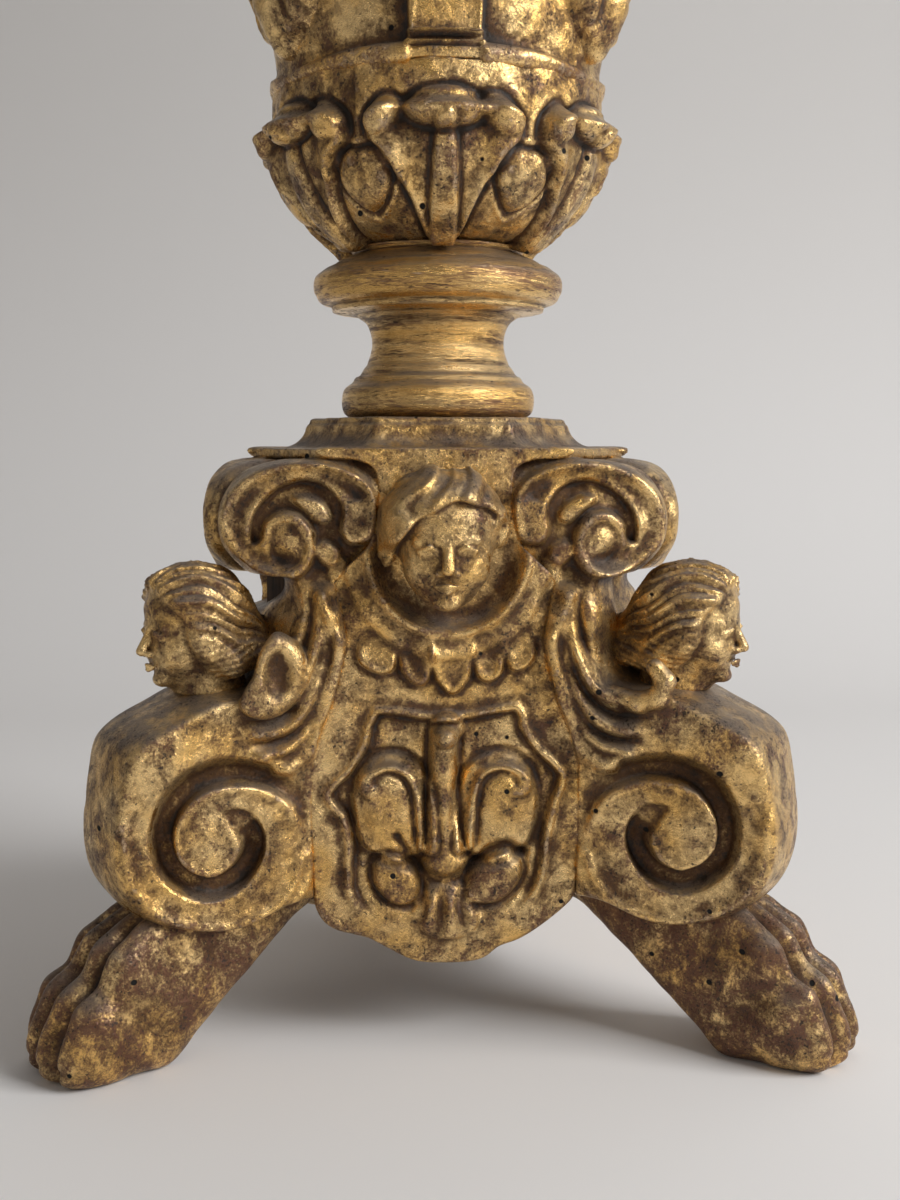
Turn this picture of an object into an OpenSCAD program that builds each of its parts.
// Torchere candle stand: a carved and gilt wooden candlestick on three lion-paw feet.
// The base is three-sided. One face looks to the front (-Y), and the corners point to -30, 90
// and 210 degrees. The origin is on the floor, on the axis of the stem, and Z points up.
// Corner pieces are drawn with their corner along +X, face pieces with their face towards -Y.

/* [Base] */
// Height from the floor to the underside of the cap
base_h = 208; // [200:1:220]
// Height from the floor to the seat of the feet
foot_h = 50; // [46:1:54]
// Distance from the axis to the ground of a face panel
face_d = 57; // [54:1:60]
// Thickness of a face panel
panel_t = 12; // [9:1:15]
// Distance from the axis to the blunt corners of the core block
core_u = 66; // [62:1:68]
// Half the width of a panel at its foot
panel_s = 46; // [43:1:48]
// How far a panel hangs below the seat of the feet
panel_drop = 22; // [16:1:26]

/* [Consoles] */
// Distance from the axis to the centre of a lower scroll
scroll_u = 100; // [97:1:103]
// Height of a lower scroll's centre above the seat of the feet
scroll_rise = 31; // [29:1:33]
// Outer radius of a lower scroll at its widest side
scroll_r = 39; // [37:1:41]
// Width of the spine at its outermost place
spine_w = 32; // [28:1:36]
// Distance along a face from its middle to the centre of an upper scroll
curl_s = 56; // [54:1:58]
// Outer radius of an upper scroll where it starts
curl_r = 31; // [29:1:32]
// How far the upper scrolls stand out from the ground of a panel
curl_out = 2; // [1:0.5:4]
// Depth of the grooves between the turns of the scrolls
groove_t = 6; // [4:0.5:7]
// Height of the seat under a corner head
seat_z = 128; // [126:1:131]
// Relief of the wings
wing_t = 4; // [2:0.5:5]

/* [Heads] */
// Height of a corner head
head_h = 46; // [42:1:48]
// Distance from the axis to the middle of a corner head
head_u = 98; // [96:1:100]
// Height of a cherub head
cherub_h = 50; // [46:1:52]
// Diameter of the dowels that hold the corner heads
head_dowel_d = 8; // [6:1:10]

/* [Feet] */
// Distance from the axis to the tips of the toes
toe_u = 164; // [160:1:168]
// Width of a paw across the toes
paw_w = 48; // [44:1:52]
// Distance from the axis to the heel, where the sole begins
heel_u = 113; // [110:1:117]
// Diameter of the dowels between the feet and the consoles
foot_dowel_d = 10; // [8:1:12]

/* [Cap and stem] */
// Height of the cap plate
cap_h = 15; // [13:1:18]
// Distance from the axis to the long edges of the cap plate
cap_d = 54; // [51:1:56]
// Distance from the axis to the blunt corners of the cap plate
cap_u = 65; // [62:1:69]
// Height of the neck spool
spool_h = 63; // [58:1:70]
// Radius of the spool's collar
collar_r = 47; // [44:1:50]
// Height of the leaf bowl
bowl_h = 56; // [52:1:62]
// Greatest radius of the leaf bowl, without its leaf tips
bowl_r = 61; // [58:1:64]
// Height of the vase
vase_h = 84; // [78:1:92]
// Greatest radius of the vase
vase_r = 60; // [56:1:64]
// Width of the straps on the vase
strap_w = 28; // [24:1:32]
// Height of the ring above the vase
ring_h = 40; // [34:1:46]
// Height of the baluster stem
stem_h = 150; // [130:1:170]
// Greatest radius of the baluster stem
stem_r = 27; // [25:1:31]
// Height of the knop above the stem
knop_h = 36; // [32:1:42]
// Height of the candle cup
cup_h = 54; // [48:1:60]
// Radius of the candle cup's rim
cup_r = 47; // [43:1:50]
// Height of the drip pan
pan_h = 9; // [7:1:12]
// Radius of the drip pan
pan_r = 58; // [52:1:64]
// Diameter of the pricket's shank
pricket_d = 9; // [7:1:11]
// Height of the pricket above the pan
pricket_h = 76; // [60:1:90]
// Length of the tenons turned on the stem's pieces
tenon_l = 26; // [20:1:30]
// Radius of the tenons
tenon_r = 11; // [9:1:12]

/* [Hidden] */

$fn = 64;
gap = 0.1;              // radial clearance of dowels and tenons
far = 200;              // longer than any piece that is cut
sides = 3;
turn = 360 / sides;
corner_a = -30;         // direction of the first corner
half_corner = 60;       // half the angle between two faces at a corner

core_d = face_d - panel_t;          // flat faces of the core block
curl_d = face_d + curl_out;         // plane of the upper scrolls
scroll_z = foot_h + scroll_rise;    // centre of the lower scrolls
scroll_k = 0.92;                    // a lower scroll shrinks to this in a quarter turn
boss_u = scroll_u + 6;              // centre of the eye that its groove winds round
boss_r = 11.5;
groove_r = 36;                      // radius of the groove where it starts
groove_k = 0.62;                    // and what it shrinks to in a quarter turn
curl_k = 0.064;                     // an upper scroll loses this radius in each degree
curl_z = base_h - curl_r + 75 * curl_k;   // its top just meets the cap
flank_a = 10;                       // half the taper of a console in plan
spine_u = scroll_u + scroll_r;      // outermost place of a console
neck_z = (seat_z + curl_z - 8) / 2; // change from the wide lower part to the slim upper one
wall_u = scroll_u - 22;             // upright back of a corner head's seat
tuck_s = 50;                        // beyond this an upper scroll's cheeks draw in
tuck_k = 0.22;                      // by this much for each unit along the face
pan_floor = 4;                      // thickness of the drip pan's floor
pricket_drop = 30;                  // depth of the pricket's bore below the pan
flange_r = pricket_d * 1.4;         // iron flange round the foot of the pricket
flange_h = 6;
flange_sink = 1;                    // depth of the recess it sits in

// Where the flank of a console meets the flat of a face, along the face (s) and in plan (u, t)
bend_u = (curl_d - sin(half_corner) * (spine_w / 2 + spine_u * tan(flank_a)))
    / (cos(half_corner) - sin(half_corner) * tan(flank_a));
bend_t = spine_w / 2 + (spine_u - bend_u) * tan(flank_a);

// Heights of the pieces of the stem
spool_z = base_h + cap_h;
bowl_z = spool_z + spool_h;
vase_z = bowl_z + bowl_h;
ring_z = vase_z + vase_h;
stem_z = ring_z + ring_h;
knop_z = stem_z + stem_h;
cup_z = knop_z + knop_h;
pan_z = cup_z + cup_h;

// ---------- functions and helpers ----------

function bump(x, c, w) = exp(-pow((x - c) / w, 2));
function near_turn(a) = a - 360 * round(a / 360);
function mix(a, b, t) = a + (b - a) * t;
function step(a, b, x) = let (t = max(0, min(1, (x - a) / (b - a)))) t * t * (3 - 2 * t);
function arc(c, r, a0, a1, n) = [for (i = [0:n]) let (a = mix(a0, a1, i / n)) c + r * [cos(a), sin(a)]];

// Middle of a ring
function mean(pts) = [for (k = [1:len(pts)]) 1 / len(pts)] * pts;

// Closed skin through level or upright rings of equal point count, capped at both ends
module skin(rings) {
    n = len(rings[0]);
    m = len(rings);
    function at(i, j) = i * n + j % n;
    polyhedron(
        points = concat([for (r = rings) each r], [mean(rings[0]), mean(rings[m - 1])]),
        faces = concat(
            [for (j = [0:n - 1]) [at(0, j), at(0, j + 1), n * m]],
            [for (i = [0:m - 2], j = [0:n - 1]) each
                [[at(i, j), at(i + 1, j + 1), at(i, j + 1)], [at(i, j), at(i + 1, j), at(i + 1, j + 1)]]],
            [for (j = [0:n - 1]) [at(m - 1, j + 1), at(m - 1, j), n * m + 1]]),
        convexity = 8);
}

module at_corner(i) { rotate([0, 0, corner_a + turn * i]) children(); }
module at_face(i) { rotate([0, 0, turn * i]) children(); }
// Relief on a face: drawn as (s, z), raised towards -Y from depth d
module on_face(d, h) { translate([0, -d, 0]) rotate([90, 0, 0]) linear_extrude(h) children(); }
// The same on the upper part of a console, whose cheek lies in the face
module on_cheek(d, h) { rotate([0, 0, -corner_a]) on_face(d, h) children(); }
// Relief on the lower flank of a console: drawn as (distance from the bend, z)
module on_flank(d, h) {
    translate([bend_u, -bend_t, 0]) rotate([0, 0, flank_a]) on_face(d, h) children();
}
module both_cheeks() {
    children();
    mirror([0, 1, 0]) children();
}
module tenon_cut(z, l) { translate([0, 0, z]) cylinder(h = l, r = tenon_r + gap); }

// Band between a spiral and the same spiral moved inwards; narrow at both ends
module spiral_band(c, radius, a0, a1, w, start) {
    n = len(radius) - 1;
    function dir(a) = [cos(start - a), sin(start - a)];
    function wide(t) = w * min(1, 6 * t, 6 * (1 - t)) + 0.4;
    polygon(concat(
        [for (i = [0:n]) c + radius[i] * dir(mix(a0, a1, i / n))],
        [for (i = [n:-1:0]) c + (radius[i] - wide(i / n)) * dir(mix(a0, a1, i / n))]));
}
function scroll_rad(a) = scroll_r * pow(scroll_k, a / 90);
function curl_rad(a) = curl_r - curl_k * a;
function groove_rad(a) = max(boss_r, groove_r * pow(groove_k, (a - 160) / 90));
// Distance from the axis, in plan, of a place on an upper scroll's cheek
function cheek_u(s) = s * cos(corner_a) - (curl_d - tuck_k * max(0, s - tuck_s)) * sin(corner_a);

// ---------- base ----------

module core_plan() {
    intersection_for (i = [0:sides - 1]) rotate(turn * i) intersection() {
        translate([-far, -core_d]) square([2 * far, 2 * far]);
        rotate(corner_a) translate([core_u - 2 * far, -far]) square([2 * far, 2 * far]);
    }
}

module core_block() {
    color("sienna") difference() {
        translate([0, 0, foot_h]) linear_extrude(base_h - foot_h) core_plan();
        tenon_cut(base_h - tenon_l, tenon_l + 1);
    }
}

// Half outline of a panel from its lowest tip to its top, as (s, z)
panel_waist = 33;
panel_top = 24;
panel_half = concat(
    [[0, foot_h - panel_drop]],
    arc([14, foot_h - panel_drop + 14], 11.5, -70, -15, 4),
    arc([panel_s - 14, foot_h - 2], 13, -60, -10, 4),
    [[panel_s, foot_h + 4], [panel_s, scroll_z + 22]],
    [[panel_waist, seat_z + 4], [panel_waist, neck_z + 8]],
    [[panel_top, curl_z - 10]]);

// A cut made to this outline runs past the top edge
module panel_outline(past = 0) {
    n = len(panel_half);
    top = base_h + past;
    polygon(concat(panel_half, [[panel_top, top], [-panel_top, top]],
        [for (i = [n - 1:-1:1]) [-panel_half[i][0], panel_half[i][1]]]));
}

// Shield: straight top with hooked corners, waisted sides and a rounded foot
shield_z = foot_h + 44;
module shield_outline(k) {
    half = concat(
        [[0, shield_z + 23 - k]],
        arc([26 - k, shield_z + 32 - k], 5, 250, 300, 2),
        [[30 - k, shield_z + 22], [38 - k, shield_z + 2]],
        arc([36 - k, shield_z - 6], 4, 40, -40, 2),
        [[33 - k, shield_z - 16]],
        arc([0, shield_z - 14], 33 - k, -20, -80, 5));
    n = len(half);
    polygon(concat(half, [[0, shield_z - 47 + k]], [for (i = [n - 1:-1:1]) [-half[i][0], half[i][1]]]));
}

// One leaf of the lily: a band that rises beside the post and curls outwards and down
module lily_leaf() {
    leaf_w = 5;
    leaf_c = [17, shield_z + 1];
    polygon(concat(
        [[2, shield_z - 16]],
        arc(leaf_c, 12, 190, -20, 9),
        arc(leaf_c, 12 - leaf_w, -20, 190, 7),
        [[9, shield_z - 20]]));
}

module face_panel(i) {
    post_r = 4.5;
    bib_c = [0, curl_z];
    bib_r = 27;
    color("goldenrod") at_face(i) union() {
        on_face(core_d, panel_t) panel_outline();
        on_face(face_d - 1, 3.5) difference() {
            shield_outline(0);
            shield_outline(3.5);
        }
        // lily: post with a ball, two curled leaves, two lobes and a tuft
        translate([0, -face_d - 1, shield_z - 24]) cylinder(h = 42, r = post_r);
        translate([0, -face_d - 1, shield_z + 20]) sphere(r = 5);
        for (k = [0, 1]) mirror([k, 0, 0]) {
            on_face(face_d - 1, 6) lily_leaf();
            translate([11.5, -face_d, shield_z - 23]) sphere(r = 8);
        }
        translate([0, -face_d - 0.5, shield_z - 30]) sphere(r = 7.6);
        // bib round the head, with its fringe of feathers
        on_face(face_d - 1, 6) difference() {
            intersection() {
                translate(bib_c) circle(r = bib_r + 14);
                translate([-panel_waist, 0]) square([2 * panel_waist, curl_z]);
            }
            translate(bib_c) circle(r = bib_r);
        }
        for (a = [-130, -110, -90, -70, -50]) {
            feather_c = bib_c + (bib_r + 17) * [cos(a), sin(a)];
            on_face(face_d - 1, 4.5) translate(feather_c) circle(r = 8);
        }
    }
}

// Closed head from rings of constant height. The face looks along +X. t runs from the chin (0)
// to the crown (1); wide is half the width; deep the half depth; swept carries the hair back.
function head_out(t) = pow(max(0.0, 1 - pow(2 * t - 1, 2)), 0.42);
function head_ring(t, h, wide, deep, n) = [for (j = [0:n - 1])
    let (a = 360 * j / n,
         b = near_turn(a),
         face = max(0, cos(a)),
         jaw = 0.74 + 0.26 * step(0, 0.45, t),
         hair = 1 + 0.10 * step(0.52, 0.72, t) + 0.05 * step(60, 95, abs(b)) * cos(8 * 360 * t),
         nose = 0.13 * bump(b, 0, 13) * bump(t, 0.38, 0.10),
         brow = 0.03 * bump(b, 0, 50) * bump(t, 0.55, 0.06),
         eyes = -0.06 * (bump(b, 24, 12) + bump(b, -24, 12)) * bump(t, 0.47, 0.06),
         lips = 0.04 * bump(b, 0, 14) * bump(t, 0.21, 0.05),
         chin = 0.05 * bump(b, 0, 22) * bump(t, 0.06, 0.08),
         r = max(0.12, head_out(t)) * hair + nose + brow + eyes + lips + chin)
    [deep * r * cos(a) * (face > 0 ? jaw + 0.1 : 1), wide * r * sin(a) * (face > 0 ? jaw : 1), h * t]];

module head(h, wide, deep) {
    n = 22;
    m = 13;
    skin([for (i = [0:m]) head_ring(i / m, h, wide, deep, n)]);
}

module cherub_head(i) {
    wide = cherub_h * 0.42;
    deep = cherub_h * 0.48;
    color("gold") at_face(i) difference() {
        translate([0, -face_d + 3, base_h - cherub_h - 1]) rotate([0, 0, -90]) head(cherub_h, wide, deep);
        translate([-far / 2, -face_d, 0]) cube([far, far, 2 * far]);
    }
}

// ---------- consoles ----------

// Side outlines of a console, drawn as (u, z): scroll and seat, block at the core, slim pillar
// above the block, and upper curl
module scroll_side() {
    n = 20;
    polygon(concat(
        [for (i = [0:n]) let (a = mix(-62, 150, i / n))
            [scroll_u + scroll_rad(a) * cos(a), scroll_z - scroll_rad(a) * sin(a)]],
        [[wall_u - 6, scroll_z], [wall_u - 6, seat_z], [scroll_u + 6, seat_z]]));
}

module block_side() {
    polygon([[core_u - 30, foot_h], [scroll_u - 12, foot_h], [scroll_u - 12, scroll_z],
        [wall_u, seat_z - 8], [wall_u, neck_z], [core_u - 30, neck_z]]);
}

module pillar_side() {
    polygon([[core_u - 30, neck_z - 2], [wall_u - 3, neck_z - 2], [wall_u - 3, base_h],
        [core_u - 30, base_h]]);
}

module curl_side() {
    n = 22;
    polygon([for (i = [0:n]) let (a = mix(0, 300, i / n))
        [cheek_u(curl_s + curl_rad(a) * cos(165 - a)), curl_z + curl_rad(a) * sin(165 - a)]]);
}

module lower_plan() {
    inner_s = panel_top - 8;
    flat_d = curl_d - 0.6;
    in_u = inner_s * cos(corner_a) - flat_d * sin(corner_a);
    in_t = -inner_s * sin(corner_a) - flat_d * cos(corner_a);
    polygon([[in_u, in_t], [bend_u, -bend_t], [spine_u + 20, -spine_w / 2 + 20 * tan(flank_a)],
        [spine_u + 20, spine_w / 2 - 20 * tan(flank_a)], [bend_u, bend_t], [in_u, -in_t]]);
}

module upper_plan() {
    // where a cheek at distance s along the face lies to the side of the corner's plane
    function cheek_t(s) = -s * sin(-corner_a) + (curl_d - tuck_k * max(0, s - tuck_s)) * cos(corner_a);
    side = [for (s = [-5, tuck_s, curl_s + curl_r]) [cheek_u(s), cheek_t(s)]];
    polygon([for (k = [0:2]) side[k], for (k = [2:-1:0]) [side[k][0], -side[k][1]]]);
}

module across() { rotate([90, 0, 0]) linear_extrude(far, center = true) children(); }

// What feet and corner heads are scribed to
module console_side() {
    union() {
        across() scroll_side();
        across() block_side();
        across() curl_side();
        across() pillar_side();
    }
}

// Wing: bands that sweep down from the upper scroll and turn out towards the head
module wing() {
    wing_c = [30, seat_z + 12];
    wing_a = 12;
    rise = [wing_t, wing_t * 0.7, wing_t * 0.4];
    radii = [31, 24.5, 18.5];
    translate([curl_d * sin(-corner_a) + 35 * cos(corner_a), -curl_d * cos(corner_a) + 35 * sin(-corner_a), 0])
        rotate([0, 0, -corner_a - wing_a])
        for (k = [0:2])
            on_face(-5, 5 + rise[k])
                polygon(concat(
                    arc(wing_c, radii[k], 122, 280, 10),
                    arc(wing_c, radii[k] - 5.6, 285, 118, 9)));
}

module corner_console(i) {
    boss_l = (boss_u - bend_u) / cos(flank_a);
    color("darkgoldenrod") at_corner(i) difference() {
        union() {
            intersection() {
                linear_extrude(2 * far) lower_plan();
                union() {
                    across() scroll_side();
                    across() block_side();
                }
            }
            intersection() {
                linear_extrude(2 * far) upper_plan();
                union() {
                    across() curl_side();
                    across() pillar_side();
                }
            }
            both_cheeks() {
                on_flank(-5, 7) polygon(arc([boss_l, scroll_z], boss_r - 0.5, 0, 345, 23));
                on_cheek(curl_d - 4, 5.5) polygon(arc([curl_s, curl_z], 7.5, 0, 340, 17));
                wing();
            }
        }
        both_cheeks() {
            on_flank(-groove_t, groove_t + 8)
                spiral_band([boss_l, scroll_z], [for (k = [0:24]) groove_rad(mix(160, 480, k / 24)) + 6],
                    160, 480, 6, 0);
            on_cheek(curl_d - groove_t * 0.6, groove_t)
                spiral_band([curl_s, curl_z], [for (k = [0:24]) curl_rad(mix(15, 320, k / 24)) - 3],
                    15, 320, 7, 165);
            rotate([0, 0, -corner_a]) on_face(core_d - 40, far) panel_outline(5);
        }
        rotate(-corner_a) linear_extrude(2 * far) core_plan();
        foot_dowel(gap);
        head_dowel(gap);
    }
}

// ---------- corner heads, feet and dowels ----------

module head_dowel(play) {
    translate([wall_u - 8, 0, seat_z + head_h * 0.45]) rotate([0, 90, 0])
        cylinder(h = 24 + play, d = head_dowel_d + 2 * play);
}

module foot_dowel(play) {
    translate([core_u + 16, 0, foot_h - 14 - play])
        cylinder(h = 36 + 2 * play, d = foot_dowel_d + 2 * play);
}

module corner_head(i) {
    wide = head_h * 0.42;
    deep = head_h * 0.5;
    color("peru") at_corner(i) difference() {
        translate([head_u, 0, seat_z - 3]) head(head_h, wide, deep);
        console_side();
        head_dowel(gap);
    }
}

// Upright section of a foot at distance u: leg, instep and toes
leg_u = 56;
function foot_low(u) = u < heel_u ? (heel_u - u) * foot_h / (heel_u - leg_u - 4) - 2 : -2;
function foot_high(u) = u < heel_u ? foot_h + 12
    : (foot_h + 10) * sqrt(max(0.02, 1 - pow((u - heel_u) / (toe_u - heel_u + 0.5), 2.2))) - 1;
function foot_wide(u) = u < heel_u ? mix(13, 18, (u - leg_u) / (heel_u - leg_u))
    : mix(18, paw_w / 2, step(heel_u, toe_u - 14, u)) * (1 - 0.35 * step(toe_u - 12, toe_u, u));
function soft_sign(x, p) = sign(x) * pow(abs(x), p);
function foot_ring(u, n) = [for (j = [0:n - 1])
    let (a = 360 * j / n,
         y = foot_wide(u) * soft_sign(cos(a), 0.75),
         toe = step(toe_u - 34, toe_u - 16, u),
         split = bump(abs(y), 0, 2.2) + bump(abs(y), paw_w / 4, 2.2),
         top = foot_high(u) * (1 - 0.22 * toe * split),
         mid = mix(foot_low(u), top, 0.4),
         z = sin(a) > 0 ? mid + (top - mid) * pow(sin(a), 0.75)
             : mid - (mid - foot_low(u)) * pow(-sin(a), 0.5))
    [u - 5 * toe * split * step(toe_u - 10, toe_u, u), y, z]];

module paw_foot(i) {
    n = 28;
    m = 20;
    color("saddlebrown") at_corner(i) difference() {
        skin([for (k = [0:m]) foot_ring(mix(leg_u, toe_u, 1 - pow(1 - k / m, 1.35)), n)]);
        translate([0, -far / 2, -far]) cube([far, far, far]);
        console_side();
        foot_dowel(gap);
    }
}

module foot_dowels() {
    color("burlywood") for (i = [0:sides - 1]) at_corner(i) foot_dowel(0);
}

module head_dowels() {
    color("burlywood") for (i = [0:sides - 1]) at_corner(i) head_dowel(0);
}

// ---------- cap and stem ----------

// Moulding of the cap's edge as (distance from the edge, height): lip, level ledge, cavetto, bead
module cap_edge(ledge) {
    lip = 4;
    bead = 2;
    hollow = cap_h - lip - bead;
    polygon(concat(
        [[-far, 0], [0, 0], [0, lip], [-ledge, lip]],
        arc([-ledge, lip + hollow], hollow, -90, -180, 8),
        [[-hollow - ledge - 2, cap_h - bead], [-hollow - ledge - 2, cap_h], [-far, cap_h]]));
}

module cap_plate() {
    module slab(d, ledge) {
        translate([d, far, 0]) rotate([90, 0, 0]) linear_extrude(2 * far) cap_edge(ledge);
    }
    color("goldenrod") difference() {
        translate([0, 0, base_h]) intersection_for (i = [0:sides - 1]) rotate([0, 0, turn * i])
            intersection() {
                rotate([0, 0, -90]) slab(cap_d, 2);
                rotate([0, 0, corner_a]) slab(cap_u, 13);
            }
        tenon_cut(base_h - 1, cap_h + 2);
    }
}

module neck_spool() {
    foot_r = 36;
    waist_r = 25;
    cove_r = 13;
    color("darkgoldenrod") union() {
        translate([0, 0, spool_z]) difference() {
            rotate_extrude() polygon(concat(
                [[0, 0]],
                arc([foot_r - 7, 7], 7, -90, 90, 10),
                [[foot_r - 7, 16], [foot_r - 9, 16]],
                arc([waist_r + cove_r, 16 + cove_r], cove_r, 216, 180, 5),
                arc([waist_r + cove_r, spool_h - 24 - cove_r + 4], cove_r, 180, 130, 6),
                [[collar_r - 7, spool_h - 22], [collar_r - 6, spool_h - 19]],
                arc([collar_r - 6.5, spool_h - 12.5], 6.5, -90, 60, 9),
                [[collar_r - 12, spool_h - 3], [30, spool_h], [0, spool_h]]));
            tenon_cut(spool_h - tenon_l, tenon_l + 1);
        }
        translate([0, 0, spool_z - cap_h - tenon_l + 2]) cylinder(h = cap_h + tenon_l, r = tenon_r);
    }
}

// Relief of a six-leaved skin at angle a, with w the share of its height: a blade that widens
// upwards, its rib, a rolled tip, a lobe on each side, and an egg half way to the next leaf
function dome(x, y) = sqrt(max(0, 1 - x * x - y * y));
function leaf_rise(a, w) =
    let (b = 60 * abs((a + 90) / 60 - round((a + 90) / 60)),
         half = 4 + 23 * min(w, 0.6),
         blade = step(half + 2, half - 1, b) * step(0.86, 0.76, w) * step(0, 0.06, w),
         rib = bump(b, 0, 3) * step(0.70, 0.60, w),
         tip = dome(b / 10.3, (w - 0.727) / 0.12),
         lobe = dome((b - 14.3) / 5.6, (w - 0.68) / 0.10),
         egg = dome((30 - b) / 9, (w - 0.41) / 0.21))
    1.6 * blade + 3 * rib + 7 * tip + 5 * lobe + 4.6 * egg;

function bowl_ring(v, n) = [for (j = [0:n - 1])
    let (a = 360 * j / n,
         w = pow(v, 1.25),
         r = mix(29, bowl_r, pow(sin(90 * min(1, v * 1.06)), 0.58)) + leaf_rise(a, w))
    [r * cos(a), r * sin(a), bowl_z + bowl_h * w]];

module leaf_bowl() {
    color("goldenrod") union() {
        difference() {
            skin([for (i = [0:15]) bowl_ring(i / 15, 72)]);
            tenon_cut(bowl_z + bowl_h - tenon_l, tenon_l + 1);
        }
        translate([0, 0, bowl_z - tenon_l + 2]) cylinder(h = tenon_l, r = tenon_r);
    }
}

// Wall of the vase: its radius at v (0 at the foot, 1 at the top), three-cornered in plan
function vase_wall(v) = mix(50, vase_r, step(0, 0.45, v)) * (1 - 0.46 * step(0.55, 1, v));
function vase_ring(v, n) = [for (j = [0:n - 1])
    let (a = 360 * j / n, r = vase_wall(v) * (1 + 0.06 * cos(3 * (a - corner_a))))
    [r * cos(a), r * sin(a), vase_z + vase_h * v]];

module vase_strap() {
    k = 0.94;
    rise = 5;
    rotate([0, 0, -90]) rotate([90, 0, 0]) linear_extrude(strap_w, center = true) {
        polygon(concat(
            [for (v = [0.12:0.08:0.93]) [vase_wall(v) * k + rise, vase_z + vase_h * v]],
            [[tenon_r + 8, vase_z + vase_h * 0.93], [tenon_r + 8, vase_z + vase_h * 0.12]]));
        translate([tenon_r + 8, vase_z + vase_h * 0.06])
            square([vase_wall(0.1) * k + 2 - tenon_r - 8, vase_h * 0.1]);
    }
}

module vase_body() {
    color("goldenrod") difference() {
        union() {
            skin([for (i = [0:14]) vase_ring(i / 14, 48)]);
            for (i = [0:sides - 1]) at_face(i) vase_strap();
            translate([0, 0, vase_z - tenon_l + 2]) cylinder(h = tenon_l, r = tenon_r);
        }
        for (i = [0:sides - 1]) at_corner(i) leaf_seat();
        tenon_cut(ring_z - tenon_l, tenon_l + 1);
    }
}

// Flat that a corner leaf is glued to
leaf_d = vase_r - 4;
leaf_out = 20;
leaf_half = 28;
module leaf_seat() {
    translate([leaf_d, -far / 2, vase_z - 1]) cube([far, far, vase_h + 2]);
}

// Corner leaf: a broad lobed block that bulges over the shoulder and hangs down to a curled tip
function leaf_level(v, n) = [for (j = [0:n - 1])
    let (a = 360 * j / n,
         out = mix(3, leaf_out, pow(sin(180 * min(1, 0.08 + v * 0.86)), 0.8)),
         wide = mix(8, leaf_half, pow(sin(180 * min(1, 0.1 + v * 0.8)), 0.7)) * (1 + 0.10 * cos(360 * v * 3)),
         lobe = 1 - 0.16 * bump(abs(near_turn(a)), 32, 12),
         x = leaf_d - 6 + (out + 6) * max(0, cos(a)) * lobe)
    [x, wide * sin(a), vase_z + vase_h * mix(0.08, 0.86, v)]];

module vase_leaf(i) {
    color("gold") at_corner(i) intersection() {
        skin([for (k = [0:9]) leaf_level(k / 9, 16)]);
        leaf_seat();
    }
}

module neck_ring() {
    foot_r = 33;
    waist_r = 20;
    top_r = 26;
    color("darkgoldenrod") union() {
        translate([0, 0, ring_z]) difference() {
            rotate_extrude() polygon(concat(
                [[0, 0]],
                arc([foot_r - 6, 6], 6, -90, 90, 8),
                arc([foot_r - 5, 24], 10, 240, 150, 8),
                arc([top_r - 5, ring_h - 6], 5, -90, 90, 8),
                [[0, ring_h - 1]]));
            tenon_cut(ring_h - tenon_l, tenon_l + 1);
        }
        translate([0, 0, ring_z - tenon_l + 2]) cylinder(h = tenon_l, r = tenon_r);
    }
}

// Baluster: leaf-wrapped swelling below, flutes above
function stem_wall(v) = mix(stem_r, 14, step(0.18, 0.95, v)) * mix(0.62, 1, step(0, 0.2, v));
function stem_ring(v, n) = [for (j = [0:n - 1])
    let (a = 360 * j / n,
         leaf = step(0.42, 0.36, v - 0.10 * cos(6 * (a + 90))) * step(0.02, 0.12, v),
         flute = step(0.40, 0.52, v) * step(0.97, 0.9, v),
         r = stem_wall(v) + 2.6 * leaf * (0.7 + 0.3 * cos(6 * (a + 90))) - 1.3 * flute * (1 - cos(12 * a)) / 2)
    [r * cos(a), r * sin(a), stem_z - 1 + (stem_h + 1) * v]];

module baluster_stem() {
    color("goldenrod") union() {
        difference() {
            skin([for (i = [0:20]) stem_ring(i / 20, 48)]);
            tenon_cut(knop_z - tenon_l, tenon_l + 1);
        }
        translate([0, 0, stem_z - tenon_l + 2]) cylinder(h = tenon_l, r = tenon_r);
    }
}

module stem_knop() {
    foot_r = 18;
    ball_r = 24;
    color("darkgoldenrod") union() {
        translate([0, 0, knop_z]) difference() {
            rotate_extrude() polygon(concat(
                [[0, 0]],
                arc([foot_r - 3, 3], 3, -90, 90, 6),
                [[foot_r - 4, 8]],
                arc([ball_r - 9, 17], 9, -80, 80, 10),
                [[14, knop_h - 8]],
                arc([17, knop_h - 3], 3, -90, 90, 6),
                [[0, knop_h]]));
            tenon_cut(knop_h - 16, 17);
        }
        translate([0, 0, knop_z - tenon_l + 2]) cylinder(h = tenon_l, r = tenon_r);
    }
}

// The cup repeats the bowl's leaves at about three quarters of their height
function cup_ring(v, n) = [for (j = [0:n - 1])
    let (a = 360 * j / n,
         r = mix(18, cup_r - 1.4, sqrt(sin(90 * v))) + 0.78 * leaf_rise(a, v))
    [r * cos(a), r * sin(a), cup_z + cup_h * v]];

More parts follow.
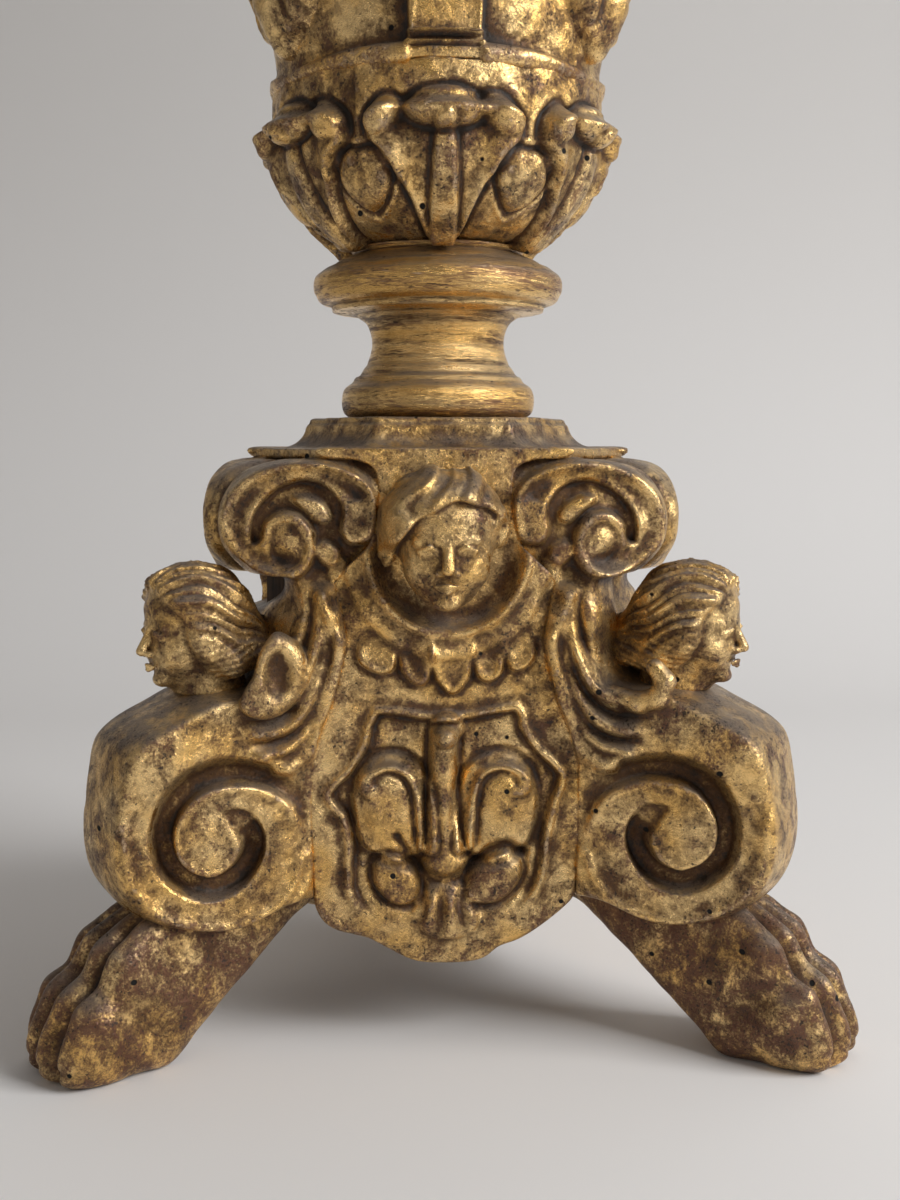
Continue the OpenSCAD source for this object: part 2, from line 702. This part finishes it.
module candle_cup() {
    color("goldenrod") union() {
        difference() {
            skin([for (i = [0:10]) cup_ring(i / 10, 48)]);
            translate([0, 0, pan_z - pricket_drop])
                cylinder(h = pricket_drop + 1, d = pricket_d + 2 * gap);
        }
        translate([0, 0, cup_z - 14]) cylinder(h = 15, r = tenon_r);
    }
}

// Dish with a rolled edge; the pricket's flange sits in a shallow turned recess
module drip_pan() {
    color("darkgoldenrod") translate([0, 0, pan_z]) difference() {
        rotate_extrude() polygon(concat(
            [[0, 0], [cup_r - 4, 0]],
            arc([pan_r - 4, pan_h - 4], 4, -60, 90, 8),
            [[pan_r - 8, pan_h], [pan_r - 12, pan_floor], [0, pan_floor]]));
        translate([0, 0, -1]) cylinder(h = pan_h + 2, d = pricket_d + 2 * gap);
        translate([0, 0, pan_floor - flange_sink]) cylinder(h = pan_h, r = flange_r + gap);
    }
}

module pricket() {
    shank_h = 30;
    seat = pan_z + pan_floor - flange_sink;
    color("dimgray") union() {
        translate([0, 0, pan_z - pricket_drop + 1])
            cylinder(h = pricket_drop - 1 + pan_floor - flange_sink + flange_h + shank_h, d = pricket_d);
        translate([0, 0, seat]) cylinder(h = flange_h, r = flange_r);
        translate([0, 0, seat + flange_h + shank_h])
            cylinder(h = pricket_h - shank_h - flange_h + 1, d1 = pricket_d, d2 = 1);
    }
}

core_block();
face_panel(0);  // face_panel_a
face_panel(1);  // face_panel_b
face_panel(2);  // face_panel_c
cherub_head(0);  // cherub_head_a
cherub_head(1);  // cherub_head_b
cherub_head(2);  // cherub_head_c
corner_console(0);  // corner_console_a
corner_console(1);  // corner_console_b
corner_console(2);  // corner_console_c
corner_head(0);  // corner_head_a
corner_head(1);  // corner_head_b
corner_head(2);  // corner_head_c
paw_foot(0);  // paw_foot_a
paw_foot(1);  // paw_foot_b
paw_foot(2);  // paw_foot_c
foot_dowels();
head_dowels();
cap_plate();
neck_spool();
leaf_bowl();
vase_body();
vase_leaf(0);  // vase_leaf_a
vase_leaf(1);  // vase_leaf_b
vase_leaf(2);  // vase_leaf_c
neck_ring();
baluster_stem();
stem_knop();
candle_cup();
drip_pan();
pricket();
